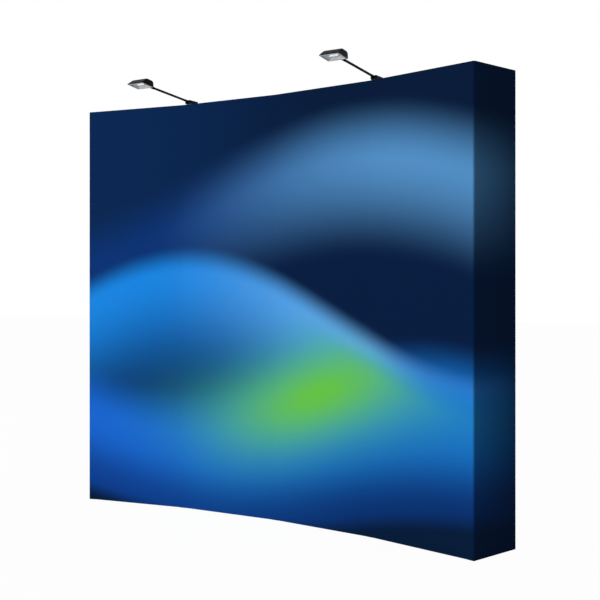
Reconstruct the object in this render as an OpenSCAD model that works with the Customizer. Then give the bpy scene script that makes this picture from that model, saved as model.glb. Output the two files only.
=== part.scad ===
// Pop up display backwall: a curved fabric graphic on a folding scissor frame, with two clip-on lamps.
// The origin is the middle of the centre front foot, on the floor. The wall bows away from the viewer,
// who stands at -Y. X runs to the viewer's right and Z up. Every column of the frame is drawn in a frame
// of its own: x along the wall, y = depth behind the printed face, z up.

/* [Wall] */
// Width between the two front corners
wall_w = 2407; // [2200:1:2700]
// Height of the printed face above the floor
wall_h = 2250; // [2000:1:2500]
// How far the middle of the wall lies behind the line between its front corners
bow_depth = 160; // [120:1:200]
// Depth from the printed face to the back edge of the side returns
wall_depth = 310; // [280:1:360]
// Outer radius of the fabric round the front corners
corner_r = 12; // [8:1:12]

/* [Fabric] */
// Thickness of the fabric
fabric_t = 1.5; // [1:0.1:2]
// Gap between the fabric's lower edge and the floor
floor_gap = 4; // [3:1:10]
// Gap between neighbouring lengths of fabric
seam_gap = 0.3; // [0.2:0.1:1]
// Width of the hook tape on the front uprights
tape_w = 22; // [16:1:22]
// Thickness of the hook tape
tape_t = 2; // [1.5:0.1:3]

/* [Uprights] */
// Width of an upright along the wall
upright_w = 40; // [36:1:46]
// Depth of an upright
upright_t = 16; // [14:1:20]
// Wall of the upright's tube
upright_wall = 1.5; // [1.2:0.1:2]
// Outer corner radius of the upright's tube
upright_r = 4; // [4:0.5:5]
// How far the uprights stop below the top of the fabric
upright_drop = 8; // [6:1:20]
// Height of the foot plug below the tube
foot_h = 12; // [8:1:20]
// Length of the plugs and ferrules inside the tubes
plug_len = 30; // [20:1:40]
// Lengths that each upright is joined from
upright_sections = 3; // [2:1:4]
// Gap that shows where two lengths of tube meet
joint_gap = 0.6; // [0.3:0.1:0.9]

/* [Hubs] */
// Rows of hubs and arms
rows = 4; // [3:1:5]
// Height of the lowest row of hubs
bottom_row_z = 70; // [60:1:120]
// How far the top row of hubs lies below the top of the fabric
top_row_drop = 60; // [60:1:90]
// Distance of a hub's pins from the middle of its upright
pin_offset = 24; // [22:1:28]
// Distance of a hub's pins from the face of its upright
pin_stand = 22.5; // [20:0.5:28]
// Radius of the hub pins and rivets
pin_r = 4; // [3:0.1:5]
// Radius of a pin's head
pin_head_r = 6.5; // [6:0.1:8]
// Thickness of a pin's head
pin_head_t = 2.5; // [1.5:0.1:3]
// Height of a hub's body
hub_h = 44; // [42:1:54]
// Radius of the ears round a hub's pins
ear_r = 13; // [12:0.5:14]
// Height of the plate that holds a hub to its upright
hub_plate_h = 60; // [56:1:70]
// Thickness of that plate
hub_plate_t = 6; // [4:0.5:8]

/* [Arms] */
// Diameter of an arm's tube
tube_d = 16; // [14:0.5:16]
// Wall of an arm's tube
tube_wall = 1.2; // [1:0.1:1.6]
// Distance from a pin to the end of the tube
tube_start = 30; // [26:1:36]
// Length of the spigots inside the tubes
spigot_len = 20; // [12:1:30]
// Outer radius of the eye at an arm's end
eye_r = 9; // [8:0.5:9]
// Outer radius of the elbow boss at mid arm
elbow_r = 12; // [10:0.5:14]
// Gap between the two crossing arms
arm_gap = 2; // [2:0.5:4]

/* [Lock bars] */
// Row of hubs that carries the lock bars, counted from the floor
lock_row = 2; // [1:1:3]
// Width of a lock bar
lock_w = 14; // [12:1:16]
// Height of a lock bar
lock_h = 10; // [8:1:12]
// Radius of the lock bar's pins
lock_pin_r = 3; // [2.5:0.1:3.5]
// Thickness of the ears that carry the lock pins
lock_ear_t = 4; // [3:0.5:6]
// Radius of the eye and of the snap fork
lock_eye_r = 8; // [7:0.5:9]

/* [Lamps] */
// Length of a lamp's arm between its two pivots
lamp_arm_len = 340; // [250:1:400]
// Angle by which the arm rises towards the head
lamp_arm_rise = 4.6; // [0:0.1:15]
// Angle by which the lamps are turned to the viewer's right
lamp_yaw = 1.8; // [-5:0.1:5]
// Distance of the arm's hinge behind the middle of its upright
lamp_hinge_y = 43; // [38:0.5:48]
// Diameter of the lamp's arm
lamp_arm_d = 10; // [8:0.5:11]
// Angle by which the front of the head is raised
head_pitch = 7; // [-20:0.1:30]
// Width of the lamp's head
head_w = 108; // [90:1:120]
// Length of the lamp's head
head_len = 90; // [80:1:100]
// Height of the lamp's head
head_h = 35; // [30:1:44]
// Distance from the head's pivot to the back of its housing
head_back = 25; // [16:0.5:30]
// Distance from the head's pivot down to the lamp glass
head_drop = 18; // [14:1:20]
// Length of the lip along the front edge of the head
head_lip = 6; // [3:0.5:10]
// Wall of the housing
head_wall = 2.5; // [2:0.1:3]
// Width of the silver rim round the glass
rim_w = 7; // [5:0.5:10]
// Thickness of the glass
glass_t = 3; // [2:0.1:4]
// Radius of the halogen bulb
bulb_r = 5; // [4:0.5:6]
// Length of the lamp's base box
base_len = 80; // [74:1:100]
// Width of the lamp's base box
base_w = 32; // [30:1:40]
// Height of the lamp's base box
base_h = 20; // [20:1:28]
// Height of the base box above the top of the uprights
base_lift = 22; // [18:1:26]
// Thickness of the plate that carries the lamp on its upright
grip_h = 8; // [6:0.5:10]
// Radius of the thumb screw's knob
knob_r = 9; // [7:0.5:10]

/* [Fits] */
// Radial clearance of a pin in the part that turns on it
running_gap = 0.05; // [0.03:0.01:0.08]
// Radial clearance of a pin in the part that holds it
held_gap = 0.02; // [0.01:0.01:0.03]
// Clearance between flat faces that pass each other
face_gap = 0.3; // [0.2:0.05:0.4]
// Clearance of a plug inside a tube
plug_gap = 0.1; // [0.05:0.05:0.2]
// Clearance between the fabric and the hook tape
tape_gap = 0.05; // [0.03:0.01:0.1]

/* [Hidden] */
COLUMN_NAMES = ["far_left", "left", "centre", "right", "far_right"];
UNIT_NAMES = ["far_left", "left", "right", "far_right"];
LAMP_COLUMNS = [1, 3];
COLUMN_PARTS = ["front_upright_", "rear_upright_", "front_hubs_", "rear_hubs_", "hook_tape_"];
UNIT_PARTS = [
    "front_arm_tubes_", "rear_arm_tubes_", "front_arm_joints_", "rear_arm_joints_", "graphic_panel_"
];
SIDE_PARTS = [
    "fabric_return_", "lock_bar_", "lamp_base_", "lamp_arm_", "lamp_housing_",
    "lamp_reflector_", "lamp_glass_"
];
SIDE_NAMES = ["left", "right"];

last_column = len(COLUMN_NAMES) - 1;
last_unit = len(UNIT_NAMES) - 1;
half_w = upright_w / 2;

// The bow: a circle through the front corners, its centre in front of the wall.
bow_radius = (wall_w * wall_w / 4 + bow_depth * bow_depth) / (2 * bow_depth);
column_inset = half_w + face_gap + tape_t + fabric_t;
end_angle = asin(wall_w / 2 / bow_radius) - atan(column_inset / bow_radius);
unit_angle = 2 * end_angle / len(UNIT_NAMES);

// Depths behind the printed face.
front_upright_y = fabric_t + tape_t;
front_face_y = front_upright_y + upright_t;
rear_face_y = wall_depth - fabric_t - tape_t - upright_t;
front_pin_y = front_face_y + pin_stand;
rear_pin_y = rear_face_y - pin_stand;
foot_y = front_upright_y + upright_t / 2;
mid_y = (front_pin_y + rear_pin_y) / 2;
arc_centre = bow_radius + foot_y;

// Heights.
tube_top_z = wall_h - upright_drop;
top_row_z = wall_h - top_row_drop;
function row_z(row) = bottom_row_z + row * (top_row_z - bottom_row_z) / (rows - 1);
arm_level = (tube_d + arm_gap) / 2;
neck_r = tube_d / 2 - 0.6;

// One half of a scissor arm, from a hub pin to the elbow where two arms cross.
half_reach = (bow_radius + mid_y) * tan(unit_angle / 2) - pin_offset;
half_rise = (rear_pin_y - front_pin_y) / 2;
half_len = sqrt(half_reach * half_reach + half_rise * half_rise);
arm_angle = atan(half_rise / half_reach);

// The far ends of the fabric lie where the corner starts to turn.
corner_x = column_inset - corner_r;
corner_angle = atan(corner_x / bow_radius);
seam_angle = atan(seam_gap / 2 / bow_radius);

// The lock pins stand above the hub's body.
lock_z = hub_h / 2 + lock_eye_r + pin_head_t + 2;

// The lamp, measured from the middle of its upright's top.
lamp_hinge_z = tube_top_z + base_lift + base_h * 0.65;
lamp_pin_r = 3;
lamp_eye_r = 8;
lamp_eye_w = 12;
lamp_slot_w = lamp_eye_w + 2 * face_gap;
lamp_tip_y = lamp_hinge_y - lamp_arm_len * cos(lamp_arm_rise);
lamp_tip_z = lamp_hinge_z + lamp_arm_len * sin(lamp_arm_rise);
head_front = head_back + head_len;
glass_w = head_w - 2 * head_wall - 2 * rim_w;
glass_len = head_len - 2 * head_wall - 2 * rim_w;
lamp_box_y = lamp_hinge_y - 13;
tray_y = lamp_box_y + 12;
tray_h = base_lift - grip_h + 1;
grip_len = foot_y + tray_y + 20 - front_upright_y;
grip_screw_z = tube_top_z - 11;
tab_t = 6;
tab_len = tube_top_z - top_row_z - hub_plate_h / 2 - 2;

function column_angle(i) = (i - last_column / 2) * unit_angle;

module at_angle(a) {
    translate([0, -arc_centre, 0]) rotate([0, 0, -a]) translate([0, bow_radius, 0]) children();
}
module at_column(i) {
    at_angle(column_angle(i)) children();
}
// Local x runs along the arm from the hub pin at that side of the column.
module on_pin(i, side, depth, turn) {
    at_column(i) translate([side * pin_offset, depth, 0]) rotate([0, 0, turn]) children();
}
module on_rows() {
    for (row = [0:rows - 1]) translate([0, 0, row_z(row)]) children();
}
module rounded_square(size, r) {
    translate([-size[0] / 2, -size[1] / 2 + r]) square([size[0], size[1] - 2 * r]);
    translate([-size[0] / 2 + r, -size[1] / 2]) square([size[0] - 2 * r, size[1]]);
    for (x = [-1, 1]) for (y = [-1, 1])
        translate([x * (size[0] / 2 - r), y * (size[1] / 2 - r)]) circle(r, $fn = 32);
}
// A rod along local x from one distance to another.
module rod_x(from, to, r) {
    translate([from, 0, 0]) rotate([0, 90, 0]) cylinder(h = to - from, r = r, $fn = 48);
}
// A rod of a given width, centred across the wall.
module cross_rod(w, r) {
    rotate([0, 90, 0]) cylinder(h = w, r = r, center = true, $fn = 48);
}
module headed_pin(shank_h, head_gap) {
    cylinder(h = shank_h + 2 * head_gap, r = pin_r, center = true, $fn = 48);
    for (side = [-1, 1]) translate([0, 0, side * (shank_h / 2 + head_gap + pin_head_t / 2)])
        cylinder(h = pin_head_t, r = pin_head_r, center = true, $fn = 48);
}

// --- Uprights ---
module upright_tube() {
    length = (tube_top_z - foot_h - (upright_sections - 1) * joint_gap) / upright_sections;
    for (s = [0:upright_sections - 1]) translate([0, 0, foot_h + s * (length + joint_gap)])
        linear_extrude(length) difference() {
            rounded_square([upright_w, upright_t], upright_r);
            rounded_square([upright_w - 2 * upright_wall, upright_t - 2 * upright_wall],
                upright_r - upright_wall);
        }
}
module front_upright(i) {
    color("silver") at_column(i) translate([0, foot_y, 0]) upright_tube();
}
module rear_upright(i) {
    color("silver") at_column(i) translate([0, rear_face_y + upright_t / 2, 0]) upright_tube();
}

// --- Hubs, with their pins and the plugs of the upright they hold ---
module tube_plug(length) {
    linear_extrude(length) rounded_square(
        [upright_w - 2 * upright_wall - 2 * plug_gap, upright_t - 2 * upright_wall - 2 * plug_gap],
        upright_r - upright_wall - plug_gap);
}
module upright_plugs(capped) {
    length = (tube_top_z - foot_h - (upright_sections - 1) * joint_gap) / upright_sections;
    linear_extrude(foot_h) rounded_square([upright_w, upright_t], upright_r);
    translate([0, 0, foot_h - 1]) tube_plug(plug_len);
    for (s = [1:upright_sections - 1])
        translate([0, 0, foot_h + s * (length + joint_gap) - joint_gap / 2 - plug_len / 2])
            tube_plug(plug_len);
    if (capped) {
        translate([0, 0, tube_top_z]) linear_extrude(upright_drop / 2)
            rounded_square([upright_w, upright_t], upright_r);
        translate([0, 0, tube_top_z - plug_len + 1]) tube_plug(plug_len);
    }
}
// y runs from the upright's face towards the pins. The right arm lies high and the left one low.
module hub(has_left, has_right) {
    left = has_left ? pin_offset : half_w - 1;
    right = has_right ? pin_offset : half_w - 1;
    slot = tube_d + 2 * face_gap;
    slot_start = pin_offset - eye_r - 2;
    difference() {
        union() {
            translate([-half_w + 1, 0, -hub_plate_h / 2]) cube([upright_w - 2, hub_plate_t, hub_plate_h]);
            translate([-left, 0, -hub_h / 2]) cube([left + right, pin_stand + ear_r, hub_h]);
            if (has_left) translate([-pin_offset, pin_stand, 0])
                cylinder(h = hub_h, r = ear_r, center = true, $fn = 64);
            if (has_right) translate([pin_offset, pin_stand, 0])
                cylinder(h = hub_h, r = ear_r, center = true, $fn = 64);
            for (z = [-1, 1]) translate([0, hub_plate_t, z * (hub_plate_h / 2 - 4)])
                rotate([-90, 0, 0]) cylinder(h = 2, r = 3, $fn = 32);
        }
        if (has_right) {
            translate([slot_start, pin_stand - eye_r - 2, arm_level - slot / 2])
                cube([upright_w, upright_w, slot]);
            translate([pin_offset, pin_stand, 0])
                cylinder(h = hub_h + 2, r = pin_r + held_gap, center = true, $fn = 48);
        }
        if (has_left) {
            translate([-slot_start - upright_w, pin_stand - eye_r - 2, -arm_level - slot / 2])
                cube([upright_w, upright_w, slot]);
            translate([-pin_offset, pin_stand, 0])
                cylinder(h = hub_h + 2, r = pin_r + held_gap, center = true, $fn = 48);
        }
    }
    if (has_right) translate([pin_offset, pin_stand, 0]) headed_pin(hub_h, 0.05);
    if (has_left) translate([-pin_offset, pin_stand, 0]) headed_pin(hub_h, 0.05);
}
// Two ears on top of a hub, with a pin across them for the lock bar.
module lock_ears() {
    gap = lock_w + 2 * face_gap;
    difference() {
        for (side = [-1, 1]) translate([side * (gap + lock_ear_t) / 2, pin_stand, 0]) {
            translate([0, 0, lock_z]) cross_rod(lock_ear_t, lock_eye_r);
            translate([-lock_ear_t / 2, -lock_eye_r, hub_h / 2])
                cube([lock_ear_t, 2 * lock_eye_r, lock_z - hub_h / 2]);
        }
        translate([0, pin_stand, lock_z]) cross_rod(gap + 2 * lock_ear_t + 2, lock_pin_r + held_gap);
    }
    translate([0, pin_stand, lock_z]) cross_rod(gap + 2 * lock_ear_t + 1, lock_pin_r);
}
module has_lock(i) {
    if (i == LAMP_COLUMNS[0] || i == LAMP_COLUMNS[1]) translate([0, 0, row_z(lock_row)]) children();
}
module front_hubs(i) {
    color("#202124") at_column(i) {
        translate([0, front_face_y, 0]) {
            on_rows() hub(i > 0, i < last_column);
            has_lock(i) lock_ears();
        }
        translate([0, foot_y, 0]) upright_plugs(i != LAMP_COLUMNS[0] && i != LAMP_COLUMNS[1]);
    }
}
module rear_hubs(i) {
    color("#202124") at_column(i) {
        translate([0, rear_face_y, 0]) mirror([0, 1, 0]) {
            on_rows() mirror([0, 0, 1]) hub(i > 0, i < last_column);
            has_lock(i) lock_ears();
        }
        translate([0, rear_face_y + upright_t / 2, 0]) upright_plugs(true);
    }
}

// --- Hook tape on the front uprights ---
module hook_tape(i) {
    color("#2b2c30") at_column(i) translate([-tape_w / 2, fabric_t + tape_gap, foot_h])
        cube([tape_w, tape_t - tape_gap, tube_top_z - foot_h]);
}

// --- Scissor arms ---
module half_tube() {
    difference() {
        rod_x(tube_start, half_len - tube_start, tube_d / 2);
        rod_x(tube_start - 1, half_len - tube_start + 1, tube_d / 2 - tube_wall);
    }
}
module arm_eye() {
    difference() {
        union() {
            cylinder(h = tube_d, r = eye_r, center = true, $fn = 48);
            rod_x(eye_r / 2, tube_start - plug_gap, neck_r);
            rod_x(tube_start - 1, tube_start + spigot_len, tube_d / 2 - tube_wall - plug_gap);
        }
        cylinder(h = tube_d + 2, r = pin_r + running_gap, center = true, $fn = 48);
    }
}
module half_elbow() {
    rod_x(half_len - tube_start + plug_gap, half_len - elbow_r / 2, neck_r);
    rod_x(half_len - tube_start - spigot_len, half_len - tube_start + 1,
        tube_d / 2 - tube_wall - plug_gap);
}
// Each arm runs from a front hub to the next column's rear hub, or the other way round.
module front_arm_halves(unit) {
    on_pin(unit, 1, front_pin_y, arm_angle) children();
    on_pin(unit + 1, -1, rear_pin_y, 180 + arm_angle) children();
}
module rear_arm_halves(unit) {
    on_pin(unit, 1, rear_pin_y, -arm_angle) children();
    on_pin(unit + 1, -1, front_pin_y, 180 - arm_angle) children();
}
module front_arm_tubes(unit) {
    color("gainsboro") on_rows() translate([0, 0, arm_level]) front_arm_halves(unit) half_tube();
}
module rear_arm_tubes(unit) {
    color("gainsboro") on_rows() translate([0, 0, -arm_level]) rear_arm_halves(unit) half_tube();
}
// The shouldered rivet turns in the rear arm's elbow and is held in the front arm's.
module elbow_rivet(unit) {
    on_pin(unit, 1, front_pin_y, arm_angle) translate([half_len, 0, 0]) {
        headed_pin(2 * tube_d + arm_gap, face_gap);
        cylinder(h = arm_gap - 2 * face_gap, r = eye_r, center = true, $fn = 48);
    }
}
module front_arm_joints(unit) {
    color("#202124") on_rows() {
        translate([0, 0, arm_level]) {
            front_arm_halves(unit) arm_eye();
            difference() {
                union() {
                    front_arm_halves(unit) half_elbow();
                    on_pin(unit, 1, front_pin_y, arm_angle) translate([half_len, 0, 0])
                        cylinder(h = tube_d, r = elbow_r, center = true, $fn = 48);
                }
                on_pin(unit, 1, front_pin_y, arm_angle) translate([half_len, 0, 0])
                    cylinder(h = tube_d + 2, r = pin_r + held_gap, center = true, $fn = 48);
            }
        }
        elbow_rivet(unit);
    }
}
module rear_arm_joints(unit) {
    color("#202124") on_rows() translate([0, 0, -arm_level]) {
        rear_arm_halves(unit) arm_eye();
        difference() {
            union() {
                rear_arm_halves(unit) half_elbow();
                on_pin(unit, 1, rear_pin_y, -arm_angle) translate([half_len, 0, 0])
                    cylinder(h = tube_d, r = elbow_r, center = true, $fn = 48);
            }
            on_pin(unit, 1, rear_pin_y, -arm_angle) translate([half_len, 0, 0])
                cylinder(h = tube_d + 2, r = pin_r + running_gap, center = true, $fn = 48);
        }
    }
}

// --- Fabric ---
module fabric_arc(from, to) {
    translate([0, -arc_centre, floor_gap]) rotate([0, 0, 90 - to])
        rotate_extrude(angle = to - from, $fn = 1440)
            translate([bow_radius, 0]) square([fabric_t, wall_h - floor_gap]);
}
module graphic_panel(unit) {
    from = column_angle(unit) - (unit == 0 ? corner_angle : 0);
    to = column_angle(unit + 1) + (unit == last_unit ? corner_angle : 0);
    color("#12407f") fabric_arc(from + seam_angle, to - seam_angle);
}
// The side return: a turned front corner, a flat side and a doubled hem at the rear upright.
module return_outline() {
    translate([corner_x, corner_r]) intersection() {
        translate([0, -corner_r]) square(corner_r);
        difference() {
            circle(corner_r, $fn = 96);
            circle(corner_r - fabric_t, $fn = 96);
        }
    }
    translate([column_inset - fabric_t, corner_r]) square([fabric_t, wall_depth - corner_r]);
    translate([half_w + face_gap, rear_face_y]) square([tape_t, upright_t]);
}
module fabric_return(side) {
    column = side == 0 ? 0 : last_column;
    color("#0a1a38") at_column(column) mirror([side == 0 ? 1 : 0, 0, 0])
        translate([0, 0, floor_gap]) linear_extrude(wall_h - floor_gap) return_outline();
}

// --- Lock bars between the front and rear hubs ---
module lock_bar(side) {
    reach = rear_pin_y - front_pin_y;
    color("#3a3b40") at_column(LAMP_COLUMNS[side])
        translate([0, front_pin_y, row_z(lock_row) + lock_z]) difference() {
            union() {
                cross_rod(lock_w, lock_eye_r);
                translate([-lock_w / 2, 0, -lock_h / 2]) cube([lock_w, reach, lock_h]);
                translate([0, reach, 0]) cross_rod(lock_w, lock_eye_r);
            }
            cross_rod(lock_w + 2, lock_pin_r + running_gap);
            translate([0, reach, 0]) cross_rod(lock_w + 2, lock_pin_r + running_gap);
            translate([-lock_w, reach, -lock_pin_r - running_gap])
                cube([2 * lock_w, 2 * lock_eye_r, 2 * (lock_pin_r + running_gap)]);
        }
}

// --- Lamps ---
// Only what grips the upright turns with the column; the rest of a lamp points forward from it.
module at_lamp(side) {
    a = column_angle(LAMP_COLUMNS[side]);
    translate([arc_centre * sin(a), arc_centre * cos(a) - arc_centre, 0])
        rotate([0, 0, lamp_yaw]) children();
}
module lamp_grip() {
    translate([0, foot_y, tube_top_z - plug_len]) tube_plug(plug_len + 1);
    translate([-base_w / 2, front_upright_y + 1, tube_top_z + face_gap])
        cube([base_w, grip_len, grip_h]);
    difference() {
        translate([-base_w / 2, front_face_y + face_gap, tube_top_z - tab_len])
            cube([base_w, tab_t, tab_len + 2]);
        translate([0, front_face_y, grip_screw_z]) rotate([-90, 0, 0])
            cylinder(h = 3 * tab_t, r = lamp_pin_r + held_gap, center = true, $fn = 48);
    }
}
module thumb_screw() {
    translate([0, front_face_y + face_gap, grip_screw_z]) rotate([-90, 0, 0]) {
        cylinder(h = tab_t + 8, r = lamp_pin_r, $fn = 48);
        translate([0, 0, tab_t + 5]) difference() {
            cylinder(h = 9, r = knob_r, $fn = 48);
            for (a = [0:45:315]) rotate([0, 0, a]) translate([knob_r + 1.5, 0, -1])
                cylinder(h = 11, r = 2.5, $fn = 24);
        }
    }
}
module lamp_box() {
    difference() {
        union() {
            translate([0, lamp_box_y + base_len / 2, tube_top_z + base_lift])
                linear_extrude(base_h) rounded_square([base_w, base_len], 5);
            translate([0, lamp_box_y + base_len - 1, tube_top_z + base_lift + base_h / 2])
                rotate([-90, 0, 0]) cylinder(h = 12, r = 6, $fn = 48);
            translate([1 - base_w / 2, tray_y, tube_top_z + base_lift - tray_h])
                cube([base_w - 2, base_len - 16, tray_h + 1]);
        }
        translate([-lamp_slot_w / 2, lamp_box_y - 1, tube_top_z + base_lift + 3])
            cube([lamp_slot_w, 13 + lamp_eye_r + 4, base_h]);
        translate([0, lamp_hinge_y, lamp_hinge_z]) cross_rod(base_w + 2, lamp_pin_r + held_gap);
        translate([0, lamp_box_y + base_len - 8, tube_top_z + base_lift + base_h / 2])
            rotate([-90, 0, 0]) cylinder(h = 20, r = 3.2, $fn = 48);
    }
}
module lamp_base(side) {
    color("#16171a") {
        union() {
            at_column(LAMP_COLUMNS[side]) lamp_grip();
            at_lamp(side) lamp_box();
        }
        at_column(LAMP_COLUMNS[side]) thumb_screw();
        at_lamp(side) translate([0, lamp_hinge_y, lamp_hinge_z]) cross_rod(base_w + 1, lamp_pin_r);
    }
}
module lamp_arm(side) {
    color("#16171a") at_lamp(side) translate([0, lamp_hinge_y, lamp_hinge_z])
        rotate([-lamp_arm_rise, 0, 0]) difference() {
            union() {
                cross_rod(lamp_eye_w, lamp_eye_r);
                translate([0, -lamp_arm_len, 0]) cross_rod(lamp_eye_w, lamp_eye_r - 1);
                rotate([90, 0, 0]) cylinder(h = lamp_arm_len, r = lamp_arm_d / 2, $fn = 48);
            }
            cross_rod(lamp_eye_w + 2, lamp_pin_r + running_gap);
            translate([0, -lamp_arm_len, 0]) cross_rod(lamp_eye_w + 2, lamp_pin_r + running_gap);
        }
}
// The head is drawn round its pivot: its front points to -y and its glass faces down.
module at_head(side) {
    at_lamp(side) translate([0, lamp_tip_y, lamp_tip_z]) rotate([-head_pitch, 0, 0]) children();
}
// Side outline of the housing, drawn in by a margin for the hollow inside it.
function head_outline(m) = [
    [-head_front + m, -head_drop], [-head_front + m, -head_drop + 4],
    [-head_front + 34 + m / 2, head_h - head_drop - m], [-head_back - 20 - m / 2, head_h - head_drop - m],
    [-head_back - m, head_h - head_drop - 12 - m], [-head_back - m, -head_drop]
];
// The housing's own outline has a lip in place of its first corner.
function lipped_outline() = [
    [-head_front - head_lip, -head_drop], [-head_front - head_lip, -head_drop + 1.5],
    for (i = [1:5]) head_outline(0)[i]
];
module across(w) {
    rotate([90, 0, 90]) linear_extrude(w, center = true) children();
}
module lamp_housing(side) {
    lug_t = 4;
    color("#101114") at_head(side) {
        difference() {
            union() {
                across(head_w) polygon(lipped_outline());
                for (x = [-1, 1]) translate([x * (lamp_slot_w + lug_t) / 2, 0, 0]) {
                    cross_rod(lug_t, lamp_eye_r - 1);
                    translate([-lug_t / 2, -head_back - 1, -lamp_eye_r + 1])
                        cube([lug_t, head_back + 1, 2 * lamp_eye_r - 2]);
                }
            }
            translate([0, 0, -0.01]) across(head_w - 2 * head_wall) polygon(head_outline(head_wall));
            cross_rod(lamp_slot_w + 2 * lug_t + 2, lamp_pin_r + held_gap);
        }
        cross_rod(lamp_slot_w + 2 * lug_t + 1, lamp_pin_r);
    }
}
// A silver pan with a rim, and the bulb across it.
module lamp_reflector(side) {
    rim_t = 1.5;
    pan_h = 14;
    pan_t = 1;
    mid = -head_back - head_len / 2;
    inner_w = head_w - 2 * head_wall - 2 * face_gap;
    inner_len = head_len - 2 * head_wall - 2 * face_gap;
    color("#d9dbe0") at_head(side) translate([0, mid, -head_drop]) {
        difference() {
            union() {
                translate([-inner_w / 2, -inner_len / 2, 0]) cube([inner_w, inner_len, rim_t]);
                translate([0, 0, rim_t]) linear_extrude(pan_h, scale = 0.6)
                    square([glass_w + 2 * pan_t, glass_len - 8 + 2 * pan_t], center = true);
            }
            translate([0, 0, -1]) linear_extrude(glass_t + 1 + face_gap)
                square([glass_w + 2 * face_gap, glass_len + 2 * face_gap], center = true);
            translate([0, 0, rim_t - 0.1]) linear_extrude(pan_h - pan_t, scale = 0.6)
                square([glass_w, glass_len - 8], center = true);
        }
        translate([0, 0, rim_t + pan_h / 2]) cross_rod(glass_w * 0.7, bulb_r);
    }
}
module lamp_glass(side) {
    mid = -head_back - head_len / 2;
    color("#e8eef4", 0.35) at_head(side) translate([0, mid, -head_drop])
        linear_extrude(glass_t) rounded_square([glass_w, glass_len], 2);
}

for (i = [0:last_column]) {
    front_upright(i);
    rear_upright(i);
    front_hubs(i);
    rear_hubs(i);
    hook_tape(i);
}
for (i = [0:last_unit]) {
    front_arm_tubes(i);
    rear_arm_tubes(i);
    front_arm_joints(i);
    rear_arm_joints(i);
    graphic_panel(i);
}
for (i = [0:1]) {
    fabric_return(i);
    lock_bar(i);
    lamp_base(i);
    lamp_arm(i);
    lamp_housing(i);
    lamp_reflector(i);
    lamp_glass(i);
}
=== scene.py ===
import math

import bmesh
import bpy
import numpy as np
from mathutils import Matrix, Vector


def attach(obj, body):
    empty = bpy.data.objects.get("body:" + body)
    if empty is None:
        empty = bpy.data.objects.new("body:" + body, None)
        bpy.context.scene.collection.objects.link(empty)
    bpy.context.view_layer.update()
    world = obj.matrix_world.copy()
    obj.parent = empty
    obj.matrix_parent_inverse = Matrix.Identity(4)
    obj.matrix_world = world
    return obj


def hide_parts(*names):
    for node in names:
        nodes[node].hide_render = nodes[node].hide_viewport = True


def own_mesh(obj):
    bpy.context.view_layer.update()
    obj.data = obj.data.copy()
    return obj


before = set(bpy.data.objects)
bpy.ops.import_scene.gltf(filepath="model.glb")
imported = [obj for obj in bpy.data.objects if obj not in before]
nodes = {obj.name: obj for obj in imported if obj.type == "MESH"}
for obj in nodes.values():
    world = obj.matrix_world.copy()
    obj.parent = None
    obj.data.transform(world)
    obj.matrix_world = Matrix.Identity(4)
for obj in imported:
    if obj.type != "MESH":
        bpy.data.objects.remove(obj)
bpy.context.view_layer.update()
print("frame loaded with", len(nodes), "nodes")

# sizes of the wall in metres, as the solids have them
wall = {
    "width": 2.407, "height": 2.25, "bow": 0.160, "depth": 0.310, "cornerRadius": 0.012,
    "uprightWidth": 0.040, "uprightDepth": 0.016, "fabric": 0.0015, "tape": 0.002, "faceGap": 0.0003,
    "floorGap": 0.004, "tubeTop": 2.242, "tubeJoints": (0.755, 1.4985),
    "bottomRow": 0.070, "topRow": 2.190, "rows": 4, "pinStand": 0.0225,
}
columnNames = ["far_left", "left", "centre", "right", "far_right"]
unitNames = ["far_left", "left", "right", "far_right"]
sideNames = ["left", "right"]

# the bow is an arc through the two front corners, its centre in front of the wall
bowRadius = (wall["width"] ** 2 / 4 + wall["bow"] ** 2) / (2 * wall["bow"])
columnInset = wall["uprightWidth"] / 2 + wall["faceGap"] + wall["tape"] + wall["fabric"]
endAngle = math.asin(wall["width"] / 2 / bowRadius) - math.atan(columnInset / bowRadius)
unitAngle = endAngle / 2
frontUprightY = wall["fabric"] + wall["tape"]
footY = frontUprightY + wall["uprightDepth"] / 2
frontFaceY = frontUprightY + wall["uprightDepth"]      # where the front hubs' plates lie on the uprights
frontPinY = frontFaceY + wall["pinStand"]
rearFaceY = wall["depth"] - frontUprightY - wall["uprightDepth"]
rearPinY = rearFaceY - wall["pinStand"]
arcCentre = bowRadius + footY
cornerX = columnInset - wall["cornerRadius"]
faceHalf = bowRadius * endAngle + cornerX            # half of the printed face, along the arc
rowHeights = np.linspace(wall["bottomRow"], wall["topRow"], wall["rows"])


# camera, from the photograph's perspective
cameraView = {"place": (3.003, -4.3275, 1.229), "heading": 33.35, "lens": 59.634, "shiftY": -0.0203}
cameraData = bpy.data.cameras.new("camera")
cameraData.sensor_fit = "HORIZONTAL"
cameraData.sensor_width = 36
cameraData.lens = cameraView["lens"]
cameraData.shift_y = cameraView["shiftY"]
camera = bpy.data.objects.new("camera", cameraData)
camera.location = cameraView["place"]
camera.rotation_euler = (math.radians(90), 0, math.radians(cameraView["heading"]))
bpy.context.scene.collection.objects.link(camera)
bpy.context.scene.camera = camera
print("camera placed")


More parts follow.
